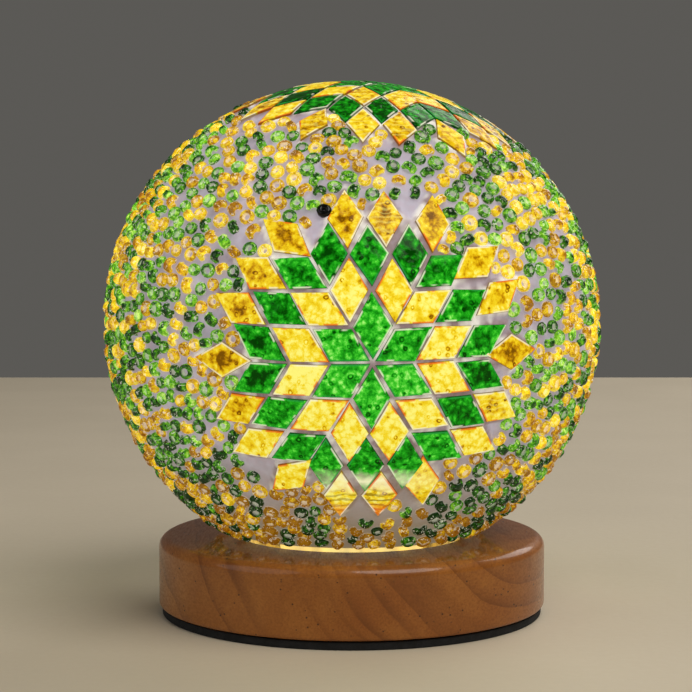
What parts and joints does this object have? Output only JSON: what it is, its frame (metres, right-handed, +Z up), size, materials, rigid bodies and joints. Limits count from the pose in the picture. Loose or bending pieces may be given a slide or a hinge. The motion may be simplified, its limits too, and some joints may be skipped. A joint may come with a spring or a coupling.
{
  "type": "mosaic glass table lamp",
  "caption": "Round mosaic glass globe with green and amber star tiles and a field of small glass beads, resting loose in the seat of a round varnished wooden base that holds an LED light.",
  "frame": {"origin": "middle of the foot pad's underside, on the surface that the lamp stands on", "axes": "+Z up through the middle of the base and the globe; -Y towards the front, where one star faces the viewer; +Y towards the back, where the power inlet is; +X to the right seen from the front"},
  "size_m": [0.1276, 0.1277, 0.1368],
  "materials": {
    "varnished_wood": "clear varnish over a warm reddish brown wood with diagonal growth lines and fine dark pores",
    "eva_foam": "matt black closed-cell foam",
    "seal_rubber": "matt black rubber ring",
    "black_plastic": "fine moulded texture",
    "circuit_board": "white solder mask",
    "led_phosphor": "yellow phosphor window in a white frame, lit warm white",
    "frosted_plastic": "frosted, translucent, lit from inside",
    "steel": "plated screw steel",
    "wire_cover": "smooth red insulation",
    "clear_glass": "clear blown glass",
    "grout": "matt white grout, lit through from behind",
    "green_glass": "transparent emerald green hammered glass, lit from behind",
    "amber_glass": "transparent amber yellow hammered glass, lit from behind"
  },
  "bodies": {
    "base": {"wood_base": "varnished_wood", "foot_pad": "eva_foam", "bottom_cover": "black_plastic", "cover_screw_1": "steel", "cover_screw_2": "steel", "cover_screw_3": "steel", "driver_board": "circuit_board", "led_wire_1": "wire_cover", "led_wire_2": "wire_cover", "inlet_wire_1": "wire_cover", "inlet_wire_2": "wire_cover", "power_inlet": "black_plastic", "led_board": "circuit_board", "board_screw_1": "steel", "board_screw_2": "steel", "board_screw_3": "steel", "led_chip_1": "led_phosphor", "led_chip_2": "led_phosphor", "led_chip_3": "led_phosphor", "led_chip_4": "led_phosphor", "led_chip_5": "led_phosphor", "led_chip_6": "led_phosphor", "led_chip_7": "led_phosphor", "light_dome": "frosted_plastic", "seat_gasket": "seal_rubber"},
    "globe": {"globe_glass": "clear_glass", "grout_layer": "grout", "bead_layer": "amber_glass", "star_front_row_1": "green_glass", "star_front_row_2": "amber_glass", "star_front_row_3": "green_glass", "star_front_row_4": "amber_glass", "star_right_row_1": "green_glass", "star_right_row_2": "amber_glass", "star_right_row_3": "green_glass", "star_right_row_4": "amber_glass", "star_left_row_1": "green_glass", "star_left_row_2": "amber_glass", "star_left_row_3": "green_glass", "star_left_row_4": "amber_glass", "star_top_row_1": "green_glass", "star_top_row_2": "amber_glass", "star_top_row_3": "green_glass", "star_top_row_4": "amber_glass"}
  },
  "joints": [
    {"name": "globe_lift", "type": "slide", "parent": "base", "child": "globe", "axis": [0, 0, 1], "range_m": [0, 0.06]}
  ]
}
